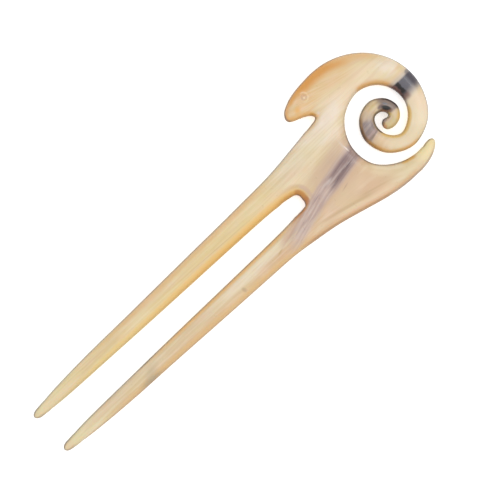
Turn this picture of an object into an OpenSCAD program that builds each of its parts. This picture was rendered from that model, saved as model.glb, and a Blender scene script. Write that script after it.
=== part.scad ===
// Hair fork carved from one plate of horn: two prongs, a flat palm, a fin at the back
// and a ram's head whose horn rolls up into a coil.
// X runs along the prongs towards the head, Y across them, Z up from the surface that
// the fork lies on. The origin is the root of the slot between the prongs.

/* [Plate] */
// Thickness of the horn plate
plate_t = 4.6; // [3.6:0.1:6]
// Width of the rounded edge, measured in from the outline
edge_w = 3; // [2:0.1:3.6]
// Half width from which the carving keeps the whole thickness
full_half_w = 4; // [3.4:0.1:5]

/* [Prongs] */
// Length of the prongs, from the root of the slot to the tips
prong_len = 98; // [80:1:115]
// Width of a prong halfway along
prong_w = 6.2; // [5:0.1:7.5]
// Width of the slot halfway along
slot_w = 7.1; // [6:0.1:9]

/* [Head] */
// Length of the head, from the root of the slot to the far side of the coil
head_len = 47.3; // [43:0.1:54]
// Height of the head's top above the middle of the slot
head_top = 24.3; // [22.5:0.1:27]
// Distance from the root of the slot to the bottom of the notch under the muzzle
notch_x = 18.5; // [16.5:0.1:20]
// Height of the notch above the middle of the slot
notch_y = 14.2; // [13:0.1:15.5]
// Reach of the muzzle back over the notch
muzzle_len = 6.6; // [5:0.1:8]
// Height of the nose above the notch
muzzle_rise = 5; // [4:0.1:6]

/* [Coil] */
// Outer radius of the coil
coil_r = 14; // [12.5:0.1:15.5]
// Width of the horn where the coil starts
coil_w = 6.4; // [5:0.1:7.4]
// Height of the coil's centre above the middle of the slot
coil_y = 0.5; // [-1:0.1:2]
// Width of the gap between the coil and the palm
coil_gap = 4.1; // [3:0.1:5]

/* [Fin] */
// Width of the fin below the coil
fin_w = 4.8; // [3.5:0.1:6.5]
// Reach of the fin past the coil's centre
fin_len = 5.9; // [4:0.1:8]

/* [Eye] */
// Radius of the groove around the eye
eye_r = 0.95; // [0.8:0.05:1.4]
// Depth of the groove around the eye
eye_depth = 0.3; // [0.15:0.05:0.5]

/* [Hidden] */

// Longest chord of the outline on the prongs, on the head and round the tips
prong_step = 3;
head_step = 1.2;
tip_step = 0.55;
// Segments in the quarter round of an edge
edge_steps = 4;
// Share of the half width that an edge may take where the fork is narrow
narrow_share = 0.9;
// Radius of the coil's rounded inner end, as a share of coil_w
coil_end_share = 0.278;

// Prong sections: distance from the tip as a share of prong_len, width as a share of
// prong_w, height of the slot's edge as a share of half slot_w, chord
PRONG = [
    [0.004, 0.24, 1.56, tip_step],
    [0.012, 0.38, 1.43, tip_step],
    [0.033, 0.48, 1.35, prong_step],
    [0.060, 0.57, 1.28, prong_step],
    [0.110, 0.68, 1.21, prong_step],
    [0.160, 0.75, 1.17, prong_step],
    [0.260, 0.85, 1.12, prong_step],
    [0.365, 0.91, 1.06, prong_step],
    [0.500, 1.00, 1.00, prong_step],
    [0.650, 1.09, 0.95, prong_step],
    [0.800, 1.18, 0.89, prong_step],
    [0.900, 1.27, 0.83, prong_step]
];

// Root of the slot: x as a share of slot_w, y as a share of half slot_w
SLOT_ROOT = [
    [-0.34, 0.65], [-0.13, 0.55], [-0.04, 0.43], [0, 0.28], [0, -0.14],
    [-0.02, -0.42], [-0.085, -0.62], [-0.2, -0.67], [-0.6, -0.73]
];

// Palm's edge below the notch: x as a share of notch_x, rise as a share of the way
// from the prong's outer edge to the notch
PALM = [
    [-0.27, 0.03], [0, 0.15], [0.28, 0.35], [0.54, 0.55], [0.76, 0.69],
    [0.90, 0.80], [0.975, 0.89], [1, 1]
];

// Muzzle: distance back from the notch as a share of muzzle_len, rise as a share of
// muzzle_rise
MUZZLE = [
    [0.03, 0.14], [0.13, 0.28], [0.34, 0.44], [0.67, 0.61], [0.84, 0.71],
    [0.96, 0.83], [1, 1]
];

// Coil: turn in degrees from +X towards -Y, outer edge as a share of coil_r, width as
// a share of coil_w
COIL = [
    [0, 0.963, 1.00],
    [45, 0.857, 0.915],
    [90, 0.800, 0.790],
    [135, 0.712, 0.845],
    [180, 0.626, 0.815],
    [225, 0.537, 0.690],
    [270, 0.467, 0.695],
    [315, 0.387, 0.635],
    [360, 0.337, 0.595],
    [405, 0.283, 0.550]
];

// Wall across the gap from the coil: turn in degrees, gap as a share of coil_gap
WALL = [
    [90, 0.50], [120, 0.70], [150, 0.96], [180, 0.99], [225, 1.00], [270, 1.00],
    [300, 0.89], [330, 0.71]
];

// Fin: distance past the coil's centre as a share of fin_len, distance below the wall
// as a share of fin_w
FIN = [
    [0.3, -0.01], [0.71, -0.09], [0.86, -0.07], [0.96, 0.01], [1, 0.13],
    [0.95, 0.29], [0.81, 0.47], [0.40, 0.76], [-0.12, 0.93], [-0.97, 1]
];

// Back of the palm: x as a share of the way to the coil's centre, depth as a share of
// the way from the prong's outer edge to the back's lowest point
BACK = [
    [0.67, 0.95], [0.53, 0.82], [0.38, 0.63], [0.23, 0.44], [0.08, 0.26], [-0.07, 0.15],
    [-0.19, 0.09]
];

coil_c = [head_len - coil_r, coil_y];
nose = [notch_x - muzzle_len, notch_y + muzzle_rise];
head_top_x = nose.x + 0.4 * (head_len - nose.x);
eye = [nose.x + 0.22 * (head_len - nose.x), nose.y + 0.235 * (head_top - nose.y)];
wall_low = coil_y - coil_r * lookup(90, column(COIL, 1)) - coil_gap * lookup(90, column(WALL, 1));
back_low = wall_low - fin_w;
root_y = slot_w / 2 * last(PRONG)[2] + prong_w * last(PRONG)[1];

function last(list) = list[len(list) - 1];
function reversed(list) = [for (i = [len(list) - 1 : -1 : 0]) list[i]];
function column(table, c) = [for (row = table) [row[0], row[c]]];
function with_step(points, step) = [for (p = points) [p.x, p.y, step]];

// Point at a distance from the coil's centre, after a turn from +X towards -Y
function coil_point(turn, r) = coil_c + r * [cos(turn), -sin(turn)];

// Edges of the prong above the middle of the slot, from the tip to the root
function prong_outer() = [
    for (s = PRONG) [prong_len * (s[0] - 1), slot_w / 2 * s[2] + prong_w * s[1], s[3]]
];
function prong_inner() = [for (s = PRONG) [prong_len * (s[0] - 1), slot_w / 2 * s[2], s[3]]];
function prong_apex() =
    [-prong_len, slot_w / 2 * PRONG[0][2] + prong_w * PRONG[0][1] / 2, tip_step];
function mirrored(points) = [for (p = points) [p.x, -p.y, p.z]];

function slot_root() = [for (s = SLOT_ROOT) [slot_w * s.x, slot_w / 2 * s.y, tip_step]];
function palm_edge() = with_step(
    [for (s = PALM) [notch_x * s.x, root_y + (notch_y - root_y) * s.y]], tip_step * 2
);
function muzzle_edge() = with_step(
    [for (s = MUZZLE) [notch_x - muzzle_len * s.x, notch_y + muzzle_rise * s.y]], tip_step
);

// Two quarters of ellipses, from the nose over the head's top to the coil's far side
function head_edge() = let (
    side_y = coil_y + 0.286 * coil_r,
    back = [for (a = [20 : 20 : 80])
        [head_top_x - (head_top_x - nose.x) * cos(a), nose.y + (head_top - nose.y) * sin(a)]],
    front = [for (a = [0 : 18 : 90])
        [head_top_x + (head_len - head_top_x) * sin(a), side_y + (head_top - side_y) * cos(a)]]
) with_step(concat(back, front), head_step);

function coil_outer() = with_step(
    [for (s = COIL) coil_point(s[0], coil_r * s[1])], head_step
);
function coil_end() = let (
    r = coil_w * coil_end_share,
    c = coil_c - coil_r * [0.046, 0.114]
) with_step([for (a = [-95 : -42 : -305]) c + r * [cos(a), sin(a)]], tip_step);
function coil_inner() = with_step(
    [for (i = [8 : -1 : 0]) let (s = COIL[i]) coil_point(s[0], coil_r * s[1] - coil_w * s[2])],
    head_step
);
function gap_wall() = with_step(
    [for (s = reversed(WALL))
        coil_point(s[0], coil_r * lookup(s[0], column(COIL, 1)) + coil_gap * s[1])],
    head_step
);
function fin_edge() = with_step(
    [for (s = FIN) [coil_c.x + fin_len * s.x, wall_low - fin_w * s.y]], tip_step * 2
);
function back_edge() = with_step(
    [for (s = BACK) [coil_c.x * s.x, -root_y + (back_low + root_y) * s.y]], head_step
);

// Corners of the outline, clockwise from the tip of the upper prong, each with the
// longest chord up to the next one
groups = [
    concat([prong_apex()], prong_outer()),
    concat(palm_edge(), muzzle_edge(), head_edge()),
    coil_outer(),
    coil_end(),
    coil_inner(),
    concat(gap_wall(), fin_edge(), back_edge()),
    mirrored(reversed(prong_outer())),
    mirrored(concat([prong_apex()], prong_inner())),
    reversed(slot_root()),
    reversed(prong_inner())
];

// Smooth closed curve through the anchors
function heading(a, b, c) = let (
    ab = [b.x - a.x, b.y - a.y],
    bc = [c.x - b.x, c.y - b.y],
    u = norm(ab),
    v = norm(bc)
) (ab * v / u + bc * u / v) / (u + v);
function between(p, q, m, n, t) = let (chord = norm(q - p))
    p * (2 * t^3 - 3 * t^2 + 1) + q * (3 * t^2 - 2 * t^3)
    + chord * (m * (t^3 - 2 * t^2 + t) + n * (t^3 - t^2));
function steps_after(rows, i) = let (b = rows[i], c = rows[(i + 1) % len(rows)])
    ceil(norm([c.x - b.x, c.y - b.y]) / b.z);
function smooth_loop(rows) = let (n = len(rows)) [
    for (i = [0 : n - 1]) let (
        a = rows[(i + n - 1) % n],
        b = rows[i],
        c = rows[(i + 1) % n],
        d = rows[(i + 2) % n],
        steps = steps_after(rows, i)
    )
    for (k = [0 : steps - 1])
        between([b.x, b.y], [c.x, c.y], heading(a, b, c), heading(b, c, d), k / steps)
];
function sum(list, count) = count <= 0 ? 0 : list[count - 1] + sum(list, count - 1);

anchors = [for (g = groups) each g];
outline = smooth_loop(anchors);
chords = [for (i = [0 : len(anchors) - 1]) steps_after(anchors, i)];
sizes = [for (g = groups) len(g)];
// Index on the outline of each group's first point
first = [for (g = [0 : len(groups)]) sum(chords, sum(sizes, g))];

// Inward normal at each point of a clockwise loop
function normals(loop) = let (n = len(loop)) [
    for (i = [0 : n - 1]) let (d = loop[(i + 1) % n] - loop[(i + n - 1) % n])
        [d.y, -d.x] / norm(d)
];
// Radius of the largest disc inside the loop that touches it at point i
function inner_radius(loop, i, normal) = min([
    for (q = loop) let (d = q - loop[i], depth = d * normal) if (depth > 0.001)
        d * d / (2 * depth)
]);

// Triangles between two rows of points, each time across the shorter diagonal
function strip(points, a, b, i = 0, j = 0) =
    let (more_a = i < len(a) - 1, more_b = j < len(b) - 1)
    !more_a && !more_b ? []
    : more_a && (!more_b || norm(points[a[i + 1]] - points[b[j]])
        < norm(points[a[i]] - points[b[j + 1]]))
    ? concat([[a[i], a[i + 1], b[j]]], strip(points, a, b, i + 1, j))
    : concat([[a[i], b[j + 1], b[j]]], strip(points, a, b, i, j + 1));
function range(a, b) = [for (i = [a : b]) i];

// Triangles that fill a flat clockwise loop, cut off one by one where a corner sticks out
// and holds no other point
function area(a, b, c) = cross([b.x - a.x, b.y - a.y], [c.x - a.x, c.y - a.y]) / 2;
function is_ear(points, loop) = let (a = points[loop[0]], b = points[loop[1]], c = points[loop[2]])
    area(a, b, c) < 0 && len([
        for (i = [3 : len(loop) - 1]) let (p = points[loop[i]])
            if (area(a, b, p) <= 0 && area(b, c, p) <= 0 && area(c, a, p) <= 0) i
    ]) == 0;
function turned(loop, start) = concat([for (i = [start : len(loop) - 1]) loop[i]], [loop[0]]);
function filled(points, loop, done = [], misses = 0) =
    len(loop) < 3 || misses > len(loop) ? done
    : len(loop) > 3 && !is_ear(points, loop) ? filled(points, turned(loop, 1), done, misses + 1)
    : filled(points, turned(loop, 2), concat(done, [[loop[0], loop[1], loop[2]]]));

// Flat face on the palm and the head, between the prongs and the coil
palm = concat(
    range(first[1], first[2]), range(first[5] - 1, first[6]), range(first[8] - 1, first[9])
);
coil_tip = round((first[3] + first[4]) / 2);

// Faces that close the plate inside its innermost loop: the palm's, and strips along the
// prongs and the coil
function cap(points) = concat(
    filled(points, palm),
    strip(points, range(0, first[1]), reversed(range(first[9], len(outline) - 1))),
    strip(points, range(first[6], first[7]), reversed(range(first[7] + 1, first[8] - 1))),
    strip(points, range(first[2], coil_tip), reversed(range(coil_tip + 1, first[5] - 1)))
);

// Horn plate with a quarter-elliptical edge above and below, thinner where it is narrow
module rounded_plate() {
    n = len(outline);
    inward = normals(outline);
    reach = [for (i = [0 : n - 1]) inner_radius(outline, i, inward[i])];
    inset = [for (r = reach) min(edge_w, narrow_share * r)];
    fullness = [for (r = reach) 1 - (1 - min(1, r / full_half_w))^2];
    rise = [for (i = [0 : n - 1]) plate_t / 2 * (len(search(i, palm)) > 0 ? 1 : fullness[i])];
    loops = [
        for (k = [-edge_steps : edge_steps]) let (a = 90 * k / edge_steps)
            [for (i = [0 : n - 1]) let (p = outline[i] + inward[i] * inset[i] * (1 - cos(a)))
                [p.x, p.y, plate_t / 2 + rise[i] * sin(a)]]
    ];
    sides = [
        for (k = [0 : len(loops) - 2]) for (i = [0 : n - 1])
            let (j = (i + 1) % n, a = k * n, b = a + n)
            each [[a + i, b + j, b + i], [a + i, a + j, b + j]]
    ];
    faces = cap(last(loops));
    polyhedron([for (loop = loops) each loop], concat(
        sides,
        [for (f = faces) reversed(f)],
        [for (f = faces) [for (i = f) i + (len(loops) - 1) * n]]
    ));
}

// Groove around the bead of an eye, cut into a face at height 0 from above
module eye_groove() {
    translate([eye.x, eye.y, eye_depth / 4])
        rotate_extrude($fn = 24) translate([eye_r, 0]) circle(r = eye_depth * 1.25, $fn = 10);
}

module fork() {
    color("wheat") difference() {
        rounded_plate();
        translate([0, 0, plate_t]) eye_groove();
        mirror([0, 0, 1]) eye_groove();
    }
}

fork();
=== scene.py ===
"""Looks of the hair fork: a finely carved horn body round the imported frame, its material, light and camera.

Lengths are in millimetres until a mesh, light or camera is made, and directions in degrees. X runs along
the prongs towards the head, Y across them towards the muzzle, and Z up from the floor. Colours of the
horn are red, green and blue from 0 to 255.
"""

import math

import bpy
import numpy as np
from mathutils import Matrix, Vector
from mathutils.geometry import delaunay_2d_cdt
from mathutils.kdtree import KDTree


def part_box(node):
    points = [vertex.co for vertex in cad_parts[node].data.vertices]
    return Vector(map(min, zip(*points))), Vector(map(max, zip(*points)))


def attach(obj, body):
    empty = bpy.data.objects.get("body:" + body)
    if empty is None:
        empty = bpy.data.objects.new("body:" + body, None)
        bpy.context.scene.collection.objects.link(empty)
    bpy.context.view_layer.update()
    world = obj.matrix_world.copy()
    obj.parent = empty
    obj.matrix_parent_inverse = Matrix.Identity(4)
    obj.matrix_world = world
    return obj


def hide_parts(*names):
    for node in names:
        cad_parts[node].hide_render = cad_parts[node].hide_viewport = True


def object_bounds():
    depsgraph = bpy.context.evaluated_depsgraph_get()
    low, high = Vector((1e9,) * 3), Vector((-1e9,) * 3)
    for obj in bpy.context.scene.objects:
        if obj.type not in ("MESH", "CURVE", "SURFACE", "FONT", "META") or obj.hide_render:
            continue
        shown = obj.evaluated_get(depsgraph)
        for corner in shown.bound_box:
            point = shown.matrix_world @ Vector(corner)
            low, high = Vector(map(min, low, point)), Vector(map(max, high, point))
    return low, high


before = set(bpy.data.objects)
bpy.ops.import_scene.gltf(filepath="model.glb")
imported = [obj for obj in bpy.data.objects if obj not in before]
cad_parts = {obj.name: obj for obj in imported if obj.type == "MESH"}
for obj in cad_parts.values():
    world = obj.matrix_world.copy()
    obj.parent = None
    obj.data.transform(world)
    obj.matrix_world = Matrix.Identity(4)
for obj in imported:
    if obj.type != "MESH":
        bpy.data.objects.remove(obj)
cad_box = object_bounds()

MM = 0.001

# Places on the fork
SLOT_ROOT = (0.0, 0.0)
NOTCH = (18.4, 14.6)
COIL_CENTRE = (33.3, 0.5)
EYE = (19.9, 20.6)

# Points of the CAD mesh this close to a height, in metres, lie at it
SAME_HEIGHT = 1e-6

# Mesh, outline and rings inside it at these depths. A ring keeps only points at more than RING_FOLD of
# its depth, so that it doesn't fold over, and RING_SLACK sets how close together they may be.
RIM_STEP = 0.4
RING_DEPTHS = (0.04, 0.16, 0.36, 0.64, 1.0)
RING_SLACK = 0.15
RING_FOLD = 0.97

# Mesh, the rest: a fine disc at the eye, an even grid, and the gaps that the grid leaves round it
EYE_STEP = 0.14
EYE_MESH_R = 2.2
GRID_STEP = 0.42
GRID_GAP = 0.6 * GRID_STEP
EYE_GAP = 0.5 * GRID_STEP

# Triangles: points closer than this are one point, and only triangles inside the outline are kept
POINT_MERGE = 1e-7
INSIDE_ONLY = 1

# Outline: passes of smoothing, and the shifts between which a corner comes to count as a real curve
EASE_PASSES = 120
EASE_LIMITS = (0.1, 0.22)

# Rounded edge: its width, and how much wider it is near the slot's root and the notch
EDGE_W = 1.5
ROOT_EXTRA_W = 1.2
ROOT_REACH = 4.5
NOTCH_EXTRA_W = 0.9
NOTCH_REACH = 3.5

# Solver for the rounded edge: most steps, when it is exact enough, and the least area it divides by
SOLVER_STEPS = 800
SOLVER_LIMIT = 1e-12
SMALL_AREA = 1e-9

# Carved eye: a bead in a groove, with a lid round it. BEAD_DROP is the share of the way down into the
# groove that the bead's round top takes, and its steep side takes the rest.
BEAD_R = 0.5
GROOVE_R = 0.72
EYE_R = 1.15
LID_R = 1.6
LID_W = 0.3
GROOVE_DEPTH = 0.18
LID_DEPTH = 0.08
BEAD_DROP = 0.85

# Polishing waves: their depth, and the length, direction and start of each
WAVE_DEPTH = 0.03
WAVES = ((9, 12, 0.4), (13, 65, 2.1), (7, 110, 4.0), (17, 150, 1.3))

# Fibres: they fan out between these places, with these slopes in the palm's middle, back and head
FAN_START, FAN_END = -8, 6
MIDDLE_SLOPE, MIDDLE_Y, MIDDLE_REACH = 0.19, -1, 6
BACK_SLOPE, BACK_START, BACK_END = -0.36, -6, -14
HEAD_SLOPE, HEAD_START, HEAD_END = -0.35, 12, 22
FIBRE_STEP = 0.5

# Vein: its cross direction, and where and how much it turns down on the prongs' side
ACROSS_VEIN = (-0.186, 0.983)
VEIN_BEND_X = 5.5
VEIN_BEND = 0.1

# Vein on the coil: directions from the coil's centre of its lower end and of its darker middle
RING_END = 195.5
RING_MIDDLE = 178.5

# Studio: half the floor's side, where the lights point, and each one's name, place, size and power
FLOOR_HALF = 2000
LIGHT_TARGET = (-20, 0, 0)
LIGHTS = (
    ("key", (100, -240, 560), (600, 600), 1.08),
    ("left_glint", (-40, 300, 560), (60, 120), 0.2),
    ("right_glint", (300, -10, 560), (60, 120), 0.2),
)
FLOOR_COLOUR = (0.9, 0.9, 0.9, 1)
FLOOR_GLOW = 0.5
WHITE = (1, 1, 1, 1)
SKY_STRENGTH = 0.71

# Camera: the square photograph's size in pixels, a pixel's size, the fork's place at its centre and its
# turn, the lens and sensor, and the distance from which things are shown
PHOTO_PIXELS = 500
PIXEL = 0.2844
PHOTO_CENTRE = (-20.65, -0.71)
PHOTO_TURN = -43.0
LENS = 100.0
SENSOR = 36.0
NEAREST = 10


def smooth(x, low, high):
    """Smooth rise from 0 to 1 as x goes from low to high."""
    t = np.clip((x - low) / (high - low), 0, 1)
    return t * t * (3 - 2 * t)


def middle_line(node):
    """Closed line, in mm, where the node's surface crosses the middle of its thickness."""
    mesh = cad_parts[node].data
    low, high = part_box(node)
    middle = (low.z + high.z) / 2
    place = {
        v.index: (round(v.co.x / MM, 4), round(v.co.y / MM, 4))
        for v in mesh.vertices
        if abs(v.co.z - middle) < SAME_HEIGHT
    }
    beside = {}
    for edge in mesh.edges:
        a, b = (place.get(i) for i in edge.vertices)
        if a and b and a != b:
            beside.setdefault(a, []).append(b)
            beside.setdefault(b, []).append(a)
    line = [min(beside)]
    step = beside[line[0]][0]
    while step != line[0]:
        line.append(step)
        step = next(p for p in beside[step] if p != line[-2])
    return np.array(line)


def resampled(line, step):
    """The closed line as a smooth curve through its points, with points a step apart."""
    after, before = np.roll(line, -1, 0), np.roll(line, 1, 0)
    chord = np.linalg.norm(after - line, axis=1)
    back = np.linalg.norm(line - before, axis=1)
    forward = (after - line) / chord[:, None]
    behind = (line - before) / back[:, None]
    heading = (behind * chord[:, None] + forward * back[:, None]) / (chord + back)[:, None]
    along = np.concatenate([[0], np.cumsum(chord)])
    count = int(round(along[-1] / step))
    at = np.arange(count) * along[-1] / count
    i = np.searchsorted(along, at, side="right") - 1
    t = ((at - along[i]) / chord[i])[:, None]
    j = (i + 1) % len(line)
    return (
        line[i] * (2 * t**3 - 3 * t**2 + 1)
        + line[j] * (3 * t**2 - 2 * t**3)
        + chord[i][:, None] * (heading[i] * (t**3 - 2 * t**2 + t) + heading[j] * (t**3 - t**2))
    )


def eased(line):
    """The closed line with slight corners smoothed away and real curves kept."""
    smoothed = line.copy()
    for _ in range(EASE_PASSES):
        smoothed = (np.roll(smoothed, 1, 0) + 2 * smoothed + np.roll(smoothed, -1, 0)) / 4
    moved = np.linalg.norm(smoothed - line, axis=1)
    share = 1 - smooth(moved, *EASE_LIMITS)
    return line + (smoothed - line) * share[:, None]


def inward_normals(line):
    """Unit normals of a closed line, pointing into it."""
    along = np.roll(line, -1, 0) - np.roll(line, 1, 0)
    normals = np.stack([-along[:, 1], along[:, 0]], 1)
    normals /= np.linalg.norm(normals, axis=1)[:, None]
    x, y = line.T
    anticlockwise = np.sum(x * np.roll(y, -1) - y * np.roll(x, -1)) > 0
    return normals if anticlockwise else -normals


def fine_points(line, parts=8):
    """Points between the points of a closed line, to measure distances from it."""
    share = np.arange(parts)[None, :, None] / parts
    return (line[:, None] * (1 - share) + np.roll(line, -1, 0)[:, None] * share).reshape(-1, 2)


def depth_test(line):
    """A function that gives a point's distance from the closed line."""
    points = fine_points(line)
    tree = KDTree(len(points))
    for i, (x, y) in enumerate(points):
        tree.insert((x, y, 0), i)
    tree.balance()
    return lambda p: tree.find((p[0], p[1], 0))[2]


def inside_test(line):
    """A function that tells which points (xs, y) on one row lie inside the closed line."""
    x0, y0 = line.T
    x1, y1 = np.roll(line, -1, 0).T

    def inside(xs, y):
        crossed = (y0 > y) != (y1 > y)
        at = x0[crossed] + (y - y0[crossed]) / (y1 - y0)[crossed] * (x1 - x0)[crossed]
        return (at[None] > xs[:, None]).sum(1) % 2 == 1

    return inside


def from_eye(p):
    """Distance of a point from the eye."""
    return np.linalg.norm(p - EYE)


def ring_points(line, depth):
    """Points in rings just inside the outline, left out where a ring would fold over itself or crowd."""
    inward = inward_normals(line)
    rings = []
    previous = 0.0
    for d in RING_DEPTHS:
        closest = min(RIM_STEP, d - previous + RING_SLACK) / 2
        previous = d
        last = None
        for p in line + inward * d:
            if depth(p) > RING_FOLD * d and (last is None or np.linalg.norm(p - last) > closest):
                rings.append(p)
                last = p
    return [p for p in rings if from_eye(p) > EYE_MESH_R]


def eye_points():
    """A fine disc of points at the eye, in rings that are a step apart."""
    disc = [np.array(EYE)]
    for k in range(1, int(EYE_MESH_R / EYE_STEP) + 1):
        r = k * EYE_STEP
        count = int(round(2 * math.pi * r / EYE_STEP))
        for i in range(count):
            a = 2 * math.pi * (i + 0.5 * (k % 2)) / count
            disc.append(np.array(EYE) + r * np.array([math.cos(a), math.sin(a)]))
    return disc


def grid_points(line, depth):
    """An even grid of triangles' corners, inside the rings and clear of the eye."""
    low, high = line.min(0), line.max(0)
    inside = inside_test(line)
    grid = []
    for k, y in enumerate(np.arange(low[1], high[1], GRID_STEP * math.sqrt(3) / 2)):
        xs = np.arange(low[0] + GRID_STEP / 2 * (k % 2), high[0], GRID_STEP)
        for x in xs[inside(xs, y)]:
            p = np.array([x, y])
            if depth(p) > RING_DEPTHS[-1] + GRID_GAP and from_eye(p) > EYE_MESH_R + EYE_GAP:
                grid.append(p)
    return grid


def inner_points(line):
    """Mesh points inside the outline: rings close to it, a fine disc at the eye, then an even grid."""
    depth = depth_test(line)
    return np.array(ring_points(line, depth) + eye_points() + grid_points(line, depth))


def triangulated(line, points):
    """Points and triangles of the region inside the line, its own points first."""
    everything = [Vector(p) for p in np.vstack([line, points])]
    loop = list(range(len(line)))
    made = delaunay_2d_cdt(everything, [], [loop], INSIDE_ONLY, POINT_MERGE)
    xy = np.array([tuple(p) for p in made[0]])
    triangles = np.array([f for f in made[2] if len(f) == 3])
    return xy, triangles


def facing_up(xy, triangles):
    """The triangles with their corners anticlockwise, as seen from above."""
    corners = xy[triangles]
    u, v = corners[:, 1] - corners[:, 0], corners[:, 2] - corners[:, 0]
    wrong = u[:, 0] * v[:, 1] - u[:, 1] * v[:, 0] < 0
    triangles[wrong] = triangles[wrong][:, ::-1]
    return triangles


def edge_width(xy):
    """Width of the rounded edge at each point: wider round the slot's root and the notch."""
    def near(place, reach):
        return np.exp(-np.sum((xy - place) ** 2, axis=1) / reach**2)

    return EDGE_W + ROOT_EXTRA_W * near(SLOT_ROOT, ROOT_REACH) + NOTCH_EXTRA_W * near(NOTCH, NOTCH_REACH)


def ties(xy, triangles):
    """Pairs of neighbouring points, the weight that ties each pair, and each point's own area."""
    width = edge_width(xy)
    corners = xy[triangles]
    pairs, weights = [], []
    for k in range(3):
        a, b, c = corners[:, k], corners[:, (k + 1) % 3], corners[:, (k + 2) % 3]
        u, v = a - c, b - c
        twice_area = np.abs(u[:, 0] * v[:, 1] - u[:, 1] * v[:, 0])
        pairs.append(triangles[:, [k, (k + 1) % 3]])
        weights.append(0.5 * (u * v).sum(1) / np.maximum(twice_area, SMALL_AREA))
    area = twice_area / 2
    i, j = np.vstack(pairs).T
    weights = np.concatenate(weights) * (width[i] ** 2 + width[j] ** 2) / 2
    return i, j, weights, np.bincount(triangles.ravel(), np.repeat(area / 3, 3), len(xy))


def fullness(xy, triangles, on_rim):
    """How full the plate is at each point: 0 at the rim, rising smoothly to 1 over the edge's width.

    Solves u - div(w² grad u) = 1 on the triangles, with u = 0 on the rim, by conjugate gradients.
    """
    i, j, weights, area = ties(xy, triangles)
    count = len(xy)
    diagonal = area + np.bincount(i, weights, count) + np.bincount(j, weights, count)
    free = ~on_rim

    def applied(u):
        out = diagonal * u - np.bincount(i, weights * u[j], count)
        out -= np.bincount(j, weights * u[i], count)
        return out * free

    u = np.zeros(count)
    residual = area * free
    scaled = residual / diagonal
    direction = scaled.copy()
    size = residual @ scaled
    for _ in range(SOLVER_STEPS):
        step = applied(direction)
        share = size / (direction @ step)
        u += share * direction
        residual -= share * step
        scaled = residual / diagonal
        size, old = residual @ scaled, size
        if size < SOLVER_LIMIT:
            break
        direction = scaled + direction * size / old
    return np.clip(u, 0, 1)


def eye_relief(xy):
    """Depth of the carving at the eye: a bead standing in a round groove, with a lid round it."""
    r = np.linalg.norm(xy - EYE, axis=1)
    bead = BEAD_DROP * (r / GROOVE_R) ** 2 + (1 - BEAD_DROP) * smooth(r, BEAD_R, GROOVE_R)
    outer = 1 - smooth(r, GROOVE_R, EYE_R)
    groove = GROOVE_DEPTH * np.where(r < GROOVE_R, bead, outer)
    return groove + LID_DEPTH * np.exp(-(((r - LID_R) / LID_W) ** 2))


def waves(xy):
    """Shallow unevenness that hand polishing leaves, from 0 to 1."""
    x, y = xy.T
    total = np.zeros(len(xy))
    for length, turn, start in WAVES:
        a = math.radians(turn)
        total += np.sin(2 * math.pi * (x * math.cos(a) + y * math.sin(a)) / length + start)
    return 0.5 + total / (2 * len(WAVES))


def fibre_slope(x, y):
    """Slope of the horn's fibres: straight on the prongs, fanning out over the palm and head."""
    middle = MIDDLE_SLOPE * np.exp(-(((y - MIDDLE_Y) / MIDDLE_REACH) ** 2))
    back = BACK_SLOPE * smooth(y, BACK_START, BACK_END)
    head = HEAD_SLOPE * smooth(y, HEAD_START, HEAD_END)
    return (middle + back + head) * smooth(x, FAN_START, FAN_END)


def fibre_lines(xy):
    """Which fibre each point lies on, given by where that fibre crosses the prongs' roots."""
    x, y = xy.T.copy()
    while x.max() > FAN_START:
        step = np.where(x > FAN_START, FIBRE_STEP, 0.0)
        y -= step * fibre_slope(x, y)
        x -= step
    return y


def vein_lines(xy):
    """Distance of each point from a line along the vein."""
    x = xy[:, 0]
    return xy @ ACROSS_VEIN + VEIN_BEND * np.maximum(VEIN_BEND_X - x, 0)


def set_vectors(mesh, name, *columns):
    """Stores a vector at each of the mesh's points."""
    values = np.column_stack(columns).astype(np.float32)
    mesh.attributes.new(name, "FLOAT_VECTOR", "POINT").data.foreach_set("vector", values.ravel())


def set_coordinates(mesh, line, xy, points):
    """Stores, at each point, what the material measures its layers by and draws its strands along.

    from_edge is the distance from the outline. The second number of grain is the fibre that the point
    lies on, and that of vein_grain is the distance from the vein's line.
    """
    doubled = np.vstack([xy, xy[len(line) :]])
    x, z = points[:, 0], points[:, 2]
    depth = depth_test(line)
    from_edge = np.array([depth(p) for p in doubled], np.float32)
    mesh.attributes.new("from_edge", "FLOAT", "POINT").data.foreach_set("value", from_edge)
    set_vectors(mesh, "grain", x, fibre_lines(doubled), z)
    set_vectors(mesh, "vein_grain", x, vein_lines(doubled), z)


def closed_shell(xy, triangles, height, middle, rim_count):
    """Points and faces of two mirrored surfaces, above and below the middle, that share their rim."""
    count = len(xy)
    under = np.arange(count) + count - rim_count
    under[:rim_count] = np.arange(rim_count)
    top = np.column_stack([xy, middle + height])
    bottom = np.column_stack([xy, middle - height])[rim_count:]
    return np.vstack([top, bottom]), np.vstack([triangles, under[triangles[:, ::-1]]])


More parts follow.
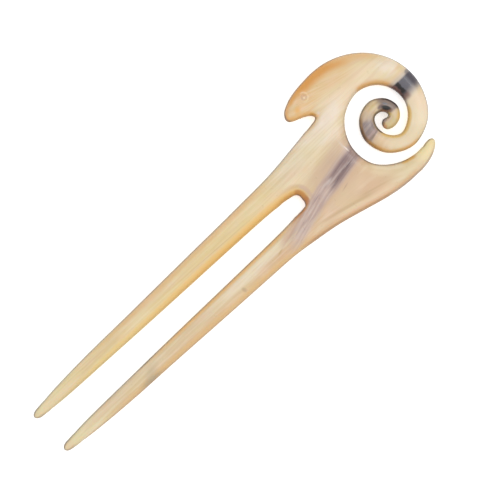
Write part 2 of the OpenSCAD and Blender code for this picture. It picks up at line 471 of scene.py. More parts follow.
def horn_body(name, node):
    """The carved fork as one closed mesh round the CAD node's outline."""
    low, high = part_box(node)
    half, middle = (high.z - low.z) / MM / 2, (high.z + low.z) / MM / 2
    line = eased(resampled(middle_line(node), RIM_STEP))
    line = np.clip(line, (low.x / MM, low.y / MM), (high.x / MM, high.y / MM))
    xy, triangles = triangulated(line, inner_points(line))
    full = fullness(xy, triangles, np.arange(len(xy)) < len(line))
    height = half * np.sqrt(full) - eye_relief(xy) * full - WAVE_DEPTH * waves(xy) * full
    points, faces = closed_shell(xy, facing_up(xy, triangles), height, middle, len(line))
    mesh = bpy.data.meshes.new(name)
    mesh.from_pydata((points * MM).tolist(), [], faces.tolist())
    mesh.shade_smooth()
    set_coordinates(mesh, line, xy, points)
    piece = bpy.data.objects.new(name, mesh)
    bpy.context.scene.collection.objects.link(piece)
    return piece


class Nodes:
    """Short ways to add nodes to one material."""

    # Sockets of the Mix node when it mixes colours
    MIX_SHARE, MIX_A, MIX_B, MIX_RESULT = 0, 6, 7, 2

    def __init__(self, name):
        self.material = bpy.data.materials.new(name)
        self.material.use_nodes = True
        self.tree = self.material.node_tree
        self.shader = self.tree.nodes["Principled BSDF"]

    def add(self, kind, inputs, output=0, **settings):
        """Adds a node, with its inputs by name or place, and gives one of its outputs."""
        node = self.tree.nodes.new(kind)
        for key, value in settings.items():
            setattr(node, key, value)
        for key, value in inputs.items():
            self.feed(node.inputs[key], value)
        return node.outputs[output]

    def feed(self, socket, value):
        """Links a socket to another node's output, or sets it to a plain value."""
        if isinstance(value, bpy.types.NodeSocket):
            self.tree.links.new(value, socket)
        else:
            socket.default_value = value

    def math(self, operation, a, b):
        return self.add("ShaderNodeMath", {0: a, 1: b}, operation=operation)

    def vector(self, operation, a, b, output=0):
        return self.add("ShaderNodeVectorMath", {0: a, 1: b}, output, operation=operation)

    def dot(self, a, b):
        return self.vector("DOT_PRODUCT", a, b, "Value")

    def distance(self, a, b):
        return self.vector("DISTANCE", a, b, "Value")

    def both(self, first, *others):
        """Product of masks."""
        for other in others:
            first = self.math("MULTIPLY", first, other)
        return first

    def fade(self, value, low, high, at_low=0.0, at_high=1.0):
        """Smooth change from at_low to at_high as the value goes from low to high.

        A smooth step stays between both by itself. With the node's clamp on, this material holds too much
        for Cycles and comes out black.
        """
        if low > high:
            low, high, at_low, at_high = high, low, at_high, at_low
        inputs = {"Value": value, "From Min": low, "From Max": high, "To Min": at_low, "To Max": at_high}
        return self.add("ShaderNodeMapRange", inputs, interpolation_type="SMOOTHSTEP", clamp=False)

    def noise(self, place, scale, detail):
        return self.add("ShaderNodeTexNoise", {"Vector": place, "Scale": scale, "Detail": detail}, "Fac")

    def mix(self, share, a, b, blend="MIX"):
        """The colour a with this share of b mixed in."""
        node = self.tree.nodes.new("ShaderNodeMix")
        node.data_type = "RGBA"
        node.blend_type = blend
        self.feed(node.inputs[self.MIX_SHARE], share)
        self.feed(node.inputs[self.MIX_A], a)
        self.feed(node.inputs[self.MIX_B], b)
        return node.outputs[self.MIX_RESULT]


def linear(red, green, blue):
    """A colour given as sRGB bytes, as linear light."""
    def channel(c):
        c /= 255
        return c / 12.92 if c <= 0.04045 else ((c + 0.055) / 1.055) ** 2.4

    return (channel(red), channel(green), channel(blue), 1.0)


class Horn(Nodes):
    """The horn's paint, laid on in layers. Places and reaches are in millimetres."""

    BASE = (227, 206, 164)

    def __init__(self):
        super().__init__("horn")
        here = self.add("ShaderNodeTexCoord", {}, "Object")
        self.place = self.vector("MULTIPLY", here, (1 / MM, 1 / MM, 1 / MM))
        self.x = self.dot(self.place, (1.0, 0.0, 0.0))
        self.y = self.dot(self.place, (0.0, 1.0, 0.0))
        self.z = self.dot(self.place, (0.0, 0.0, 1.0))
        self.flat = self.vector("MULTIPLY", self.place, (1.0, 1.0, 0.0))
        self.from_coil = self.distance(self.flat, (*COIL_CENTRE, 0.0))
        self.edge = self.attribute("from_edge", "Fac")
        self.grain = self.attribute("grain", "Vector")
        self.vein_grain = self.attribute("vein_grain", "Vector")
        self.across_vein = self.dot(self.vein_grain, (0.0, 1.0, 0.0))
        self.soft = self.wandering(scale=0.4, detail=1.0, reach=(10.0, 2.0))
        self.frayed = self.wandering(scale=0.9, detail=2.0, reach=(7.0, 1.0))
        self.colour = linear(*self.BASE)

    def attribute(self, name, output):
        return self.add("ShaderNodeAttribute", {}, output, attribute_name=name)

    def drawn_out(self, grain, stretch, start=(0.0, 0.0, 0.0)):
        """Coordinates that are drawn out along the fibres, or along the vein."""
        inputs = {"Vector": grain, "Location": start, "Scale": (stretch, 1.0, 0.4)}
        return self.add("ShaderNodeMapping", inputs)

    def wandering(self, scale, detail, reach):
        """Places moved about by noise that is drawn out along the fibres, by up to half this reach."""
        moved = []
        for start, length in zip(((0.0, 0.0, 0.0), (31.0, 17.0, 5.0)), reach):
            noise = self.noise(self.drawn_out(self.grain, 0.06, start), scale, detail)
            moved.append(self.math("MULTIPLY", self.math("SUBTRACT", noise, 0.5), length))
        return self.vector("ADD", self.place, self.add("ShaderNodeCombineXYZ", {0: moved[0], 1: moved[1]}))

    def blob(self, centre, reach, turn=0.0, core=0.0, drawn="soft"):
        """1 in an ellipse's core, fading to 0 at its rim; reach is its half length and half width.

        Its shape is drawn out along the fibres, softly or frayed into strands, or is exact.
        """
        place = {"soft": self.soft, "frayed": self.frayed, "exact": self.place}[drawn]
        cos, sin = math.cos(math.radians(turn)), math.sin(math.radians(turn))
        ways = (cos / reach[0], sin / reach[0]), (-sin / reach[1], cos / reach[1])
        shares = [self.dot(place, (*way, 0.0)) for way in ways]
        middle = [centre[0] * way[0] + centre[1] * way[1] for way in ways]
        placed = self.add("ShaderNodeCombineXYZ", {0: shares[0], 1: shares[1]})
        return self.fade(self.distance(placed, (*middle, 0.0)), 1.0, core)

    def rim(self, width, start=0.0):
        """1 at the outline and up to the start, fading to 0 at the width."""
        return self.fade(self.edge, width, start)

    def between(self, value, low, high, soft):
        """1 where the value lies between low and high, with a soft change at both."""
        rising = self.fade(value, low - soft, low + soft)
        falling = self.fade(value, high + soft, high - soft)
        return self.both(rising, falling)

    def past(self, angle):
        """Distance anticlockwise from the line that leaves the coil's centre at this angle."""
        cos, sin = math.cos(math.radians(angle)), math.sin(math.radians(angle))
        turned = self.dot(self.place, (-sin, cos, 0.0))
        return self.math("ADD", turned, COIL_CENTRE[0] * sin - COIL_CENTRE[1] * cos)

    def sector(self, start, end, soft):
        """1 between two directions from the coil's centre, anticlockwise and less than half a turn."""
        return self.both(self.fade(self.past(start), -soft, soft), self.fade(self.past(end), soft, -soft))

    def paint(self, colour, mask, strength=1.0):
        """Lays a colour over the ones before it, where the mask says."""
        if strength != 1.0:
            mask = self.math("MULTIPLY", mask, strength)
        self.colour = self.mix(mask, self.colour, linear(*colour))

    def dab(self, colour, centre, reach, turn=0.0, core=0.0, drawn="soft", rim=None, strength=1.0):
        """Paints a blob, whole or only in a rim along the outline."""
        mask = self.blob(centre, reach, turn, core, drawn)
        if rim:
            mask = self.both(mask, self.rim(*rim))
        self.paint(colour, mask, strength)

    def spot(self, colour, centre, reach, **settings):
        """Paints a blob that has its exact shape."""
        self.dab(colour, centre, reach, drawn="exact", **settings)

    def darken(self, share, mask):
        """Takes up to this share of each colour's light away."""
        kept = (*(1 - s for s in share), 1.0)
        self.colour = self.mix(mask, self.colour, kept, "MULTIPLY")


def palm_tints(horn):
    """Grey painted shade along the left edge, tan middle and back, and cream by the head and towards the fin.
    """
    left = horn.both(horn.fade(horn.x, -14, -2), horn.fade(horn.x, 17, 12), horn.fade(horn.y, 4, 8))
    # Painted shade: greyer along the left edge, the side that faces away from the key light.
    horn.paint((204, 186, 168), horn.both(left, horn.rim(1.1, 0.3)), 0.6)
    horn.dab((210, 173, 137), (18, -7), (26, 9.5), turn=-8, core=0.4, strength=0.9)
    horn.dab((210, 171, 134), (0, -9), (20, 3.0), turn=-4, core=0.2, strength=0.85)
    horn.dab((211, 183, 153), (15, 3.4), (15, 4.6), turn=8, strength=0.95)
    horn.dab((236, 221, 200), (15.0, 10.0), (10, 4.5), turn=-20, core=0.4, strength=0.95)
    horn.dab((227, 212, 182), (2, 8.5), (20, 4.5), turn=3, core=0.3, strength=0.9)
    horn.dab((220, 199, 162), (31, -14), (11, 4.5), turn=3, core=0.4, strength=0.95)
    horn.dab((238, 219, 166), (36.5, -13.2), (6, 4), turn=20, core=0.3, strength=0.9)
    horn.spot((236, 219, 188), (22.0, -9.6), (5.0, 2.3), turn=-45, core=0.2, strength=0.8)


def head_tints(horn):
    """Tan head and crown, and cream below them as far as the band on the coil."""
    horn.dab((227, 190, 136), (17, 18), (9, 4.6), turn=20, core=0.4, strength=0.85)
    horn.dab((226, 190, 138), (28, 20), (17, 5), turn=-4, core=0.3, strength=0.8)
    horn.dab((236, 216, 184), (27, 12.5), (10, 4.5), turn=-22, core=0.3, strength=0.85)
    horn.spot((237, 221, 200), (18.5, 11.4), (10, 2.9), turn=8, core=0.4, strength=0.9)
    horn.dab((236, 216, 184), (38, 13.5), (8, 4), turn=-35, core=0.2, strength=0.7)
    horn.dab((236, 222, 202), (43, 11), (5, 3.2), turn=-52, core=0.3, strength=0.85)


def coil_tints(horn):
    """Cream outer turn, golden where the inner turn begins, and tan and olive on the curl."""
    horn.dab((236, 219, 188), (42, -3.5), (7, 8), turn=10, core=0.5, strength=0.95)
    horn.dab((232, 214, 180), (33, -7.5), (10, 3.5), turn=-10, core=0.3, strength=0.8)
    horn.dab((217, 180, 130), (27.0, -5), (3.6, 3.6), turn=-30, core=0.3, strength=0.9)
    horn.dab((202, 174, 130), (31, 4.6), (5, 3), turn=20, core=0.4, strength=0.9)
    horn.spot((208, 188, 128), (32.0, 5.2), (1.9, 1.1), turn=-10, core=0.2, strength=0.8)
    horn.spot((222, 182, 138), (30.3, 5.0), (0.9, 0.8), strength=0.6)
    horn.spot((208, 186, 152), (36.2, -1.2), (3.2, 3.0), core=0.4, strength=0.9)


def prong_tints(horn):
    """Yellow left prong and paler right one, each with a pale strip of painted highlight along it."""
    prongs = horn.fade(horn.x, 4, -12)
    left = horn.both(prongs, horn.fade(horn.y, 1, 3))
    right = horn.both(prongs, horn.fade(horn.y, -1, -3))
    horn.paint((226, 202, 147), left)
    # The pale strips on both prongs are painted highlight along their rounded tops.
    horn.paint((230, 209, 170), horn.both(left, horn.blob((-56, 7.6), (38, 1.2))), 0.8)
    horn.paint((219, 196, 157), right)
    horn.paint((236, 221, 197), horn.both(right, horn.blob((-26, -5.8), (26, 1.9), core=0.3)), 0.9)
    horn.paint((226, 205, 176), horn.both(right, horn.blob((-78, -5.6), (26, 1.5))), 0.7)
    horn.paint((217, 182, 138), horn.both(right, horn.fade(horn.y, -6.3, -8.4)), 0.8)
    horn.dab((212, 172, 134), (-14, -7.8), (11, 2.4), core=0.2, strength=0.75)
    horn.paint((231, 220, 174), horn.fade(horn.x, -72, -94), 0.8)


def clouds(horn):
    """Pale and tan clouds drawn out along the fibres, faint pink and yellow ones, and fine streaks."""
    pale = horn.noise(horn.drawn_out(horn.grain, 0.2), 0.35, 1.0)
    horn.paint((214, 186, 146), horn.fade(pale, 0.5, 0.3), 0.35)
    horn.paint((238, 221, 192), horn.fade(pale, 0.5, 0.7), 0.3)
    tint = horn.noise(horn.drawn_out(horn.grain, 0.3, (11.0, 5.0, 2.0)), 0.4, 1.0)
    horn.paint((236, 200, 172), horn.fade(tint, 0.5, 0.68), 0.28)
    horn.paint((224, 208, 150), horn.fade(tint, 0.5, 0.32), 0.22)
    fine = horn.noise(horn.drawn_out(horn.grain, 0.05, (3.0, 8.0, 1.0)), 1.8, 2.0)
    straight = horn.fade(horn.x, 40, 28)
    horn.paint((206, 178, 138), horn.both(straight, horn.fade(fine, 0.5, 0.34)), 0.2)
    horn.paint((244, 231, 210), horn.both(straight, horn.fade(fine, 0.5, 0.66)), 0.18)


def palm_streaks(horn):
    """Olive and pinkish streaks along the palm's back, taupe above the vein, and pale places by the gap, the
    thin one beside its wall a painted highlight.
    """
    horn.spot((194, 162, 118), (8.0, -10.7), (15.5, 0.85), turn=-12.8, core=0.1, strength=0.65)
    horn.spot((194, 160, 118), (17.0, -12.0), (7.0, 0.5), turn=-14, strength=0.55)
    horn.dab((224, 195, 160), (19.5, -8.8), (7, 3.8), turn=-25, core=0.1, strength=0.5)
    horn.spot((230, 194, 166), (10.0, -13.0), (11, 1.0), turn=-15, core=0.1, strength=0.6)
    horn.dab((210, 180, 147), (7.5, 1.2), (9, 3.4), turn=8, strength=0.6)
    horn.dab((194, 166, 142), (12.8, 1.5), (6, 1.8), turn=15, strength=0.65)
    # Painted highlight: a thin pale line beside the gap's wall.
    horn.spot((222, 208, 194), (18.5, 2.8), (0.5, 3.2), turn=-4, core=0.1, strength=0.6)
    horn.dab((239, 223, 206), (22.5, 12.4), (7, 2.8), turn=10, core=0.3, strength=0.6)


def crown_amber(horn):
    """The crown glows amber where it is thin: wide on top of the head, narrow by the eye."""
    head = horn.both(horn.fade(horn.x, 30, 14), horn.fade(horn.y, 10, 14))
    horn.paint((228, 190, 138), horn.both(head, horn.rim(2.0, 0.4)), 0.5)
    crown = horn.both(horn.blob((28, 23.5), (11.5, 8), turn=-8, core=0.5), horn.rim(3.9, 1.7))
    brow = horn.both(horn.blob((20.5, 23), (8.5, 5), turn=35, core=0.4), horn.rim(2.2, 0.9))
    horn.paint((219, 160, 86), brow, 0.85)
    horn.paint((219, 156, 76), crown, 0.95)
    horn.dab((226, 184, 130), (38, 19.5), (10, 5), turn=-32, core=0.3, rim=(3.2, 0.6), strength=0.85)


def muzzle_tints(horn):
    """Golden lower rim and notch, a pale strip along the muzzle and an orange spot behind it, painted
    highlight at the notch's corner and a dark line of painted shade round the muzzle's tip.
    """
    horn.spot((224, 168, 104), (14.0, 20.4), (3.4, 2.4), turn=50, core=0.5, rim=(1.4, 0.5), strength=0.8)
    horn.spot((226, 196, 150), (15.4, 20.4), (2.6, 0.7), turn=18, core=0.1, strength=0.6)
    horn.spot((230, 178, 102), (16.1, 19.0), (1.7, 1.4), turn=30, core=0.1, strength=0.85)
    horn.spot((230, 180, 112), (15.6, 17.2), (5.2, 2.2), turn=-34, core=0.6, rim=(1.7, 0.6), strength=0.85)
    horn.spot((206, 148, 68), (18.6, 14.9), (1.7, 1.7), core=0.4, rim=(1.1, 0.5), strength=0.85)
    # Painted highlight at the notch's corner.
    horn.spot((238, 194, 146), (19.3, 14.1), (0.7, 0.7), core=0.1, strength=0.7)
    horn.spot((230, 212, 204), (20.0, 14.4), (0.8, 0.6), turn=40, core=0.1, strength=0.7)
    # Painted shade: a dark line along the edge round the muzzle's tip.
    horn.spot((158, 122, 98), (11.8, 19.2), (2.0, 2.0), core=0.4, rim=(0.7, 0.25), strength=0.8)


def eye_tints(horn):
    """A pinkish ring and bead, with painted highlights on the lid above and below, and a pale spot on the
    bead that is partly its colour and partly a painted highlight.
    """
    away = horn.distance(horn.flat, (*EYE, 0.0))
    lid_highlights = horn.between(away, 1.2, 1.5, 0.25)
    brow = horn.blob((EYE[0] + 1.1, EYE[1] + 1.0), (1.6, 1.6), core=0.4, drawn="exact")
    cheek = horn.blob((EYE[0] - 0.2, EYE[1] - 1.7), (2.0, 1.2), core=0.4, drawn="exact")
    # Painted highlights on the lid's ridge above and below the eye.
    horn.paint((242, 208, 172), horn.both(lid_highlights, brow), 0.9)
    horn.paint((236, 212, 172), horn.both(lid_highlights, cheek), 0.6)
    horn.paint((206, 170, 142), horn.fade(away, 1.05, 0.7), 0.5)
    # Pale spot on the bead: partly its own colour, partly a painted highlight.
    horn.spot((246, 220, 182), (EYE[0], EYE[1] - 0.25), (0.42, 0.42), core=0.3, strength=0.9)


def prong_edges(horn):
    """Golden on both sides of the slot, and brown along the prongs' outer sides."""
    left, right = horn.fade(horn.y, 6.0, 5.0), horn.fade(horn.y, -6.0, -5.0)
    slot = horn.both(horn.fade(horn.x, 8, -4), left, right)
    golden = horn.both(slot, horn.rim(3.1, 0.8), horn.fade(horn.y, -1, 1))
    horn.paint((236, 208, 142), horn.both(golden, horn.fade(horn.x, -92, -70, 0.2, 1.0)), 0.9)
    horn.paint((232, 184, 102), horn.both(golden, horn.fade(horn.x, -75, -25)), 0.85)
    inner = horn.both(slot, horn.rim(1.5, 0.6), horn.fade(horn.y, 1, -1))
    inner = horn.both(inner, horn.fade(horn.x, -70, -48), horn.fade(horn.x, -6, -14))
    horn.paint((238, 194, 132), inner, 0.85)
    front = horn.both(horn.fade(horn.y, 7.0, 8.4), horn.fade(horn.x, 0, -14), horn.fade(horn.x, -80, -55))
    horn.paint((226, 186, 136), horn.both(front, horn.rim(2.8, 0.6)), 0.75)
    back = horn.both(horn.fade(horn.y, -7.0, -8.2), horn.fade(horn.x, -85, -60), horn.fade(horn.x, 2, -14))
    horn.paint((220, 182, 124), horn.both(back, horn.rim(2.6, 0.9)), 0.8)


def back_edge(horn):
    """Brown along the fork's back up to the fin, with a thin dark line of painted shade right at its edge,
    golden-brown and then greyish, and pale and golden along the gap's lower side.
    """
    back = horn.both(horn.fade(horn.y, -7.0, -8.5), horn.fade(horn.from_coil, 14.6, 15.8))
    back = horn.both(back, horn.fade(horn.x, -12, -4), horn.fade(horn.x, 39, 35))
    horn.paint((210, 166, 122), horn.both(back, horn.fade(horn.x, 34, 27), horn.rim(2.2, 0.8)), 0.7)
    golden, greyish = horn.fade(horn.x, 22, 18), horn.fade(horn.x, 18, 22)
    # Painted shade: a thin dark line right at the back's edge, golden-brown towards the palm and greyish
    # towards the fin.
    horn.paint((178, 132, 84), horn.both(back, golden, horn.rim(1.1, 0.4)), 0.8)
    horn.paint((168, 138, 112), horn.both(back, greyish, horn.rim(0.9, 0.3)), 0.75)
    gap = horn.both(horn.between(horn.from_coil, 13.7, 15.0, 0.5), horn.fade(horn.y, -5.5, -8))
    horn.paint((238, 222, 190), horn.both(gap, horn.fade(horn.x, 29, 26)), 0.6)
    horn.spot((224, 176, 96), (29.8, -12.8), (3.0, 1.8), turn=-14, core=0.4, rim=(1.3, 0.6), strength=0.9)
    horn.spot((242, 226, 172), (35.2, -13), (4, 2), turn=8, core=0.4, rim=(1.3, 0.4), strength=0.9)


def inner_low_side(horn):
    """1 on the lower right of the gap's inner end, where the outer turn's inner edge is golden."""
    return horn.both(horn.fade(horn.from_coil, 7.6, 7.2), horn.sector(-150, -15, 1.0))


def coil_edges(horn):
    """Yellow on the coil's inner side, amber on its outer side below, and thin brownish lines of painted
    shade along the edge where it narrows and on the outer turn's right.
    """
    horn.paint((228, 188, 106), horn.both(inner_low_side(horn), horn.rim(1.4, 0.6)), 0.85)
    outside = horn.both(horn.sector(38, 94, 1.0), horn.fade(horn.from_coil, 13.2, 11.3))
    top = horn.both(outside, horn.fade(horn.from_coil, 7.8, 8.2))
    horn.paint((228, 190, 144), horn.both(top, horn.rim(2.2, 0.9)), 0.7)
    horn.paint((218, 164, 92), horn.both(top, horn.rim(1.5, 0.6)), 0.75)
    below = horn.both(horn.fade(horn.past(-70), 0, -3), horn.fade(horn.from_coil, 12.2, 11.4))
    below = horn.both(below, horn.fade(horn.y, 2, -2), horn.fade(horn.from_coil, 7.4, 8.2))
    horn.paint((224, 174, 102), horn.both(below, horn.rim(1.3, 0.5)), 0.8)
    # The two thin brownish lines below are painted shade right at the edge.
    over = horn.both(horn.fade(horn.from_coil, 5.4, 5.8), horn.fade(horn.from_coil, 7.4, 7.0))
    horn.paint((180, 162, 130), horn.both(over, horn.sector(62, 148, 0.6), horn.rim(0.8, 0.3)), 0.7)
    right = horn.both(horn.fade(horn.from_coil, 10.4, 11.0), horn.fade(horn.from_coil, 15.0, 14.6))
    right = horn.both(right, horn.sector(-82, 4, 0.8), horn.rim(0.6, 0.2))
    horn.paint((176, 158, 130), right, 0.65)


def crotch_tints(horn):
    """Amber round the slot's root and orange-brown on its right, horn colour deepened by painted shade on the
    sloping bevel, a thin dark line of painted shade at the root's edge, and a pale crest outside that is
    painted highlight.
    """
    near = horn.blob((-0.5, 1.6), (9, 6), core=0.3, drawn="exact")
    top = horn.both(near, horn.fade(horn.y, -1.2, 0.2))
    horn.paint((206, 171, 124), horn.both(top, horn.between(horn.edge, 1.9, 3.1, 0.5)), 0.6)
    # Amber and orange-brown on the bevel: horn colour, deepened by painted shade where the bevel slopes into
    # the slot.
    horn.paint((214, 160, 86), horn.both(top, horn.rim(1.8, 0.5)), 0.9)
    horn.spot((196, 134, 68), (0.8, 0.6), (2.2, 3.4), core=0.5, rim=(2.0, 1.2), strength=0.85)
    outside = horn.blob((2.8, 0.6), (2.8, 3.4), core=0.5, drawn="exact")
    # Pale crest: painted highlight where the bevel turns up to the flat.
    horn.paint((211, 182, 158), horn.both(outside, horn.between(horn.edge, 2.1, 3.1, 0.4)), 0.85)
    horn.spot((188, 124, 70), (0.8, -1.6), (2.2, 1.8), core=0.4, rim=(1.9, 1.2), strength=0.9)
    horn.spot((172, 136, 116), (2.1, -2.5), (1.8, 0.7), turn=18, core=0.2, strength=0.6)
    horn.spot((206, 142, 90), (-3.4, -3.4), (4.8, 1.2), turn=6, core=0.4, rim=(1.4, 0.6), strength=0.85)
    # Painted shade: a thin dark line right at the root's edge.
    horn.spot((136, 88, 46), (0.2, 0.2), (1.4, 2.4), core=0.5, rim=(0.5, 0.2), strength=0.7)


def vein_places(horn):
    """Frayed places across the vein and along the fork."""
    moved = horn.vector("SUBTRACT", horn.frayed, horn.place)
    across = horn.math("ADD", horn.across_vein, horn.dot(moved, (0.0, 1.0, 0.0)))
    return across, horn.dot(horn.frayed, (1.0, 0.0, 0.0))


def palm_vein(horn):
    """Lilac at the right prong's root, and dark mauve strands where the vein nears the coil's gap."""
    across, along = vein_places(horn)

    def strip(sides, ends):
        return horn.both(horn.between(across, *sides), horn.between(along, *ends))

    body = horn.fade(horn.edge, 0.4, 1.2)
    horn.paint((204, 174, 150), strip((-3.6, 0.8, 2.0), (5, 30, 6)), 0.45)
    horn.paint((210, 178, 148), strip((-8.6, -5.0, 1.5), (4, 24, 5)), 0.6)
    lilac = horn.both(strip((-6.2, -1.9, 0.9), (-10, 30, 5)), body)
    horn.paint((200, 177, 167), lilac, 0.9)
    horn.paint((176, 150, 140), strip((-6.6, -1.8, 0.9), (8.0, 30, 3)), 0.85)
    core = strip((-6.1, -2.6, 0.6), (9.5, 18.8, 3))
    horn.paint((152, 128, 124), core, 0.85)
    horn.paint((112, 88, 92), strip((-3.2, -2.6, 0.4), (10.5, 18.5, 2.0)), 0.8)
    horn.paint((98, 74, 78), strip((-5.3, -4.5, 0.5), (8.5, 17.8, 2.5)), 0.85)
    strands = horn.noise(horn.drawn_out(horn.vein_grain, 0.09), 1.8, 4.0)
    dark_strands, pale_strands = horn.fade(strands, 0.48, 0.64), horn.fade(strands, 0.48, 0.36)
    horn.paint((174, 146, 138), horn.both(lilac, dark_strands), 0.5)
    horn.paint((112, 88, 90), horn.both(core, dark_strands), 0.5)
    horn.paint((216, 200, 192), horn.both(lilac, pale_strands), 0.35)
    brown = horn.both(strip((-2.3, -1.7, 0.35), (-13, 4, 3)), horn.fade(horn.y, -2.8, -3.6))
    horn.paint((184, 148, 130), brown, 0.7)
    horn.paint((208, 176, 150), horn.both(strip((-2.0, -0.6, 0.5), (-13, -2, 2)), body), 0.7)


def vein_marks(horn):
    """A mauve and a pale stroke in the vein, a brown one beside it and a thin painted highlight across its
    end by the gap's wall.
    """
    horn.spot((164, 140, 140), (3.0, -2.9), (2.8, 0.3), turn=15, strength=0.7)
    horn.spot((220, 208, 202), (8.9, -1.8), (2.2, 0.6), turn=15, strength=0.5)
    horn.spot((180, 144, 124), (11.3, -6.0), (2.2, 0.3), turn=16, strength=0.55)
    # Painted highlight: a thin pale line across the vein's end by the gap's wall.
    horn.spot((242, 230, 220), (18.85, 1.7), (0.35, 1.7), turn=4, strength=0.85)


def ring_vein(horn):
    """Purple-grey on the coil's left side: sharp at its lower end, faint at its upper one."""
    ring = horn.both(horn.fade(horn.from_coil, 9.6, 9.2), horn.fade(horn.x, 33, 30))
    past_end = horn.past(RING_END)
    end = horn.fade(past_end, 0.15, -0.15)
    body = horn.both(ring, horn.fade(horn.edge, 0.4, 1.0))
    horn.paint((206, 176, 146), horn.both(body, horn.between(past_end, 0.0, 1.6, 0.8)), 0.5)
    horn.paint((192, 172, 152), horn.both(body, end, horn.fade(horn.past(118), -1.0, 3.5)), 0.8)
    purple = horn.both(body, end, horn.fade(horn.past(150), -0.8, 0.8))
    horn.paint((152, 138, 136), purple, 0.95)
    horn.paint((178, 152, 144), horn.both(purple, horn.fade(horn.past(181.5), -0.4, 0.4)), 0.85)
    olive = horn.both(purple, horn.fade(horn.past(190), -0.4, 0.4), horn.fade(horn.from_coil, 5.0, 6.4))
    horn.paint((156, 134, 108), olive, 0.7)
    lowest = horn.both(body, horn.between(past_end, -0.45, -0.15, 0.15), horn.fade(horn.from_coil, 4.8, 5.4))
    horn.paint((128, 108, 92), lowest, 0.65)
    line = horn.between(horn.past(RING_MIDDLE), -0.1, 0.2, 0.15)
    horn.paint((176, 154, 134), horn.both(purple, line), 0.6)
    strands = horn.noise(horn.drawn_out(horn.grain, 0.1), 1.6, 1.0)
    horn.paint((184, 164, 150), horn.both(purple, horn.fade(strands, 0.5, 0.62)), 0.5)
    horn.paint((132, 114, 112), horn.both(purple, horn.fade(strands, 0.5, 0.38)), 0.4)
    inside = horn.both(ring, end, horn.fade(horn.from_coil, 4.9, 4.5), horn.fade(horn.past(140), -0.5, 1.0))
    horn.paint((190, 164, 128), horn.both(inside, horn.between(horn.edge, 0.7, 0.9, 0.3)), 0.7)


def ring_edges(horn):
    """Brown outer edge beside the purple, dark in the middle, golden below, and olive round the hole."""
    outer = horn.both(horn.fade(horn.from_coil, 5.4, 6.0), horn.fade(horn.from_coil, 10.4, 10.0))
    horn.paint((150, 112, 72), horn.both(outer, horn.sector(140, 208, 1.2), horn.rim(1.3, 0.5)), 0.85)
    horn.paint((108, 76, 50), horn.both(outer, horn.sector(162, 184, 0.8), horn.rim(1.0, 0.5)), 0.7)
    horn.paint((200, 146, 78), horn.both(outer, horn.sector(190, 220, 0.8), horn.rim(1.2, 0.5)), 0.7)
    inside = horn.both(horn.fade(horn.from_coil, 4.9, 4.5), horn.sector(84, 216, 0.6))
    horn.paint((112, 88, 54), horn.both(inside, horn.rim(1.0, 0.35)), 0.85)


def curl_vein(horn):
    """Grey over the curl's top, with a black core, a dark outer line and a red-brown inner edge."""
    curl = horn.both(horn.fade(horn.from_coil, 6.7, 6.5), horn.fade(horn.x, 32, 33))
    grey = horn.both(curl, horn.fade(horn.past(-2), -0.4, 0.5), horn.fade(horn.past(76), 1.4, -1.0))
    horn.paint((136, 118, 111), grey, 0.94)
    horn.spot((124, 126, 134), (35.6, 3.5), (1.3, 0.55), turn=-55, core=0.2, strength=0.8)
    horn.spot((112, 88, 84), (34.0, 3.8), (1.5, 0.8), core=0.3, strength=0.9)
    start = horn.both(horn.fade(horn.past(6), -0.3, 0.5), horn.fade(horn.past(94), 1.0, -0.6))
    horn.paint((128, 90, 62), horn.both(curl, start, horn.fade(horn.from_coil, 3.1, 2.5)), 0.85)
    horn.spot((62, 38, 28), (34.7, 2.4), (1.8, 0.8), turn=-52, core=0.2, strength=0.9)
    horn.spot((12, 11, 10), (35.1, 2.5), (1.8, 0.72), turn=-57, core=0.5, strength=0.99)
    horn.spot((160, 112, 82), (34.1, 2.0), (1.3, 0.5), turn=-60, core=0.2, rim=(0.7, 0.3), strength=0.8)
    outside = horn.both(curl, horn.fade(horn.from_coil, 3.0, 3.4), horn.sector(-6, 62, 0.5))
    horn.paint((54, 40, 38), horn.both(outside, horn.rim(0.95, 0.35)), 0.85)


def bulb_tints(horn):
    """The coil's end: olive cream, with mauve on top and an orange-brown left side."""
    bulb = horn.both(horn.fade(horn.x, 35.6, 34.6), horn.fade(horn.from_coil, 3.9, 3.6))
    horn.paint((206, 186, 138), horn.both(bulb, horn.fade(horn.y, 0.8, 0.4)), 0.9)
    horn.spot((206, 178, 156), (33.4, -0.6), (1.8, 0.6), turn=4, core=0.2, strength=0.8)
    horn.spot((164, 140, 132), (32.3, 0.2), (1.5, 0.8), turn=-6, core=0.4, strength=0.85)
    horn.spot((212, 154, 110), (31.2, -1.2), (1.0, 0.9), core=0.3, strength=0.85)
    horn.spot((168, 124, 88), (31.5, -0.4), (0.9, 0.5), turn=20, core=0.3, strength=0.85)
    horn.spot((192, 160, 92), (34.6, 0.6), (0.6, 0.8), core=0.3, strength=0.85)
    horn.spot((158, 126, 104), (33.9, -0.1), (0.9, 0.35), turn=10, core=0.3, strength=0.7)


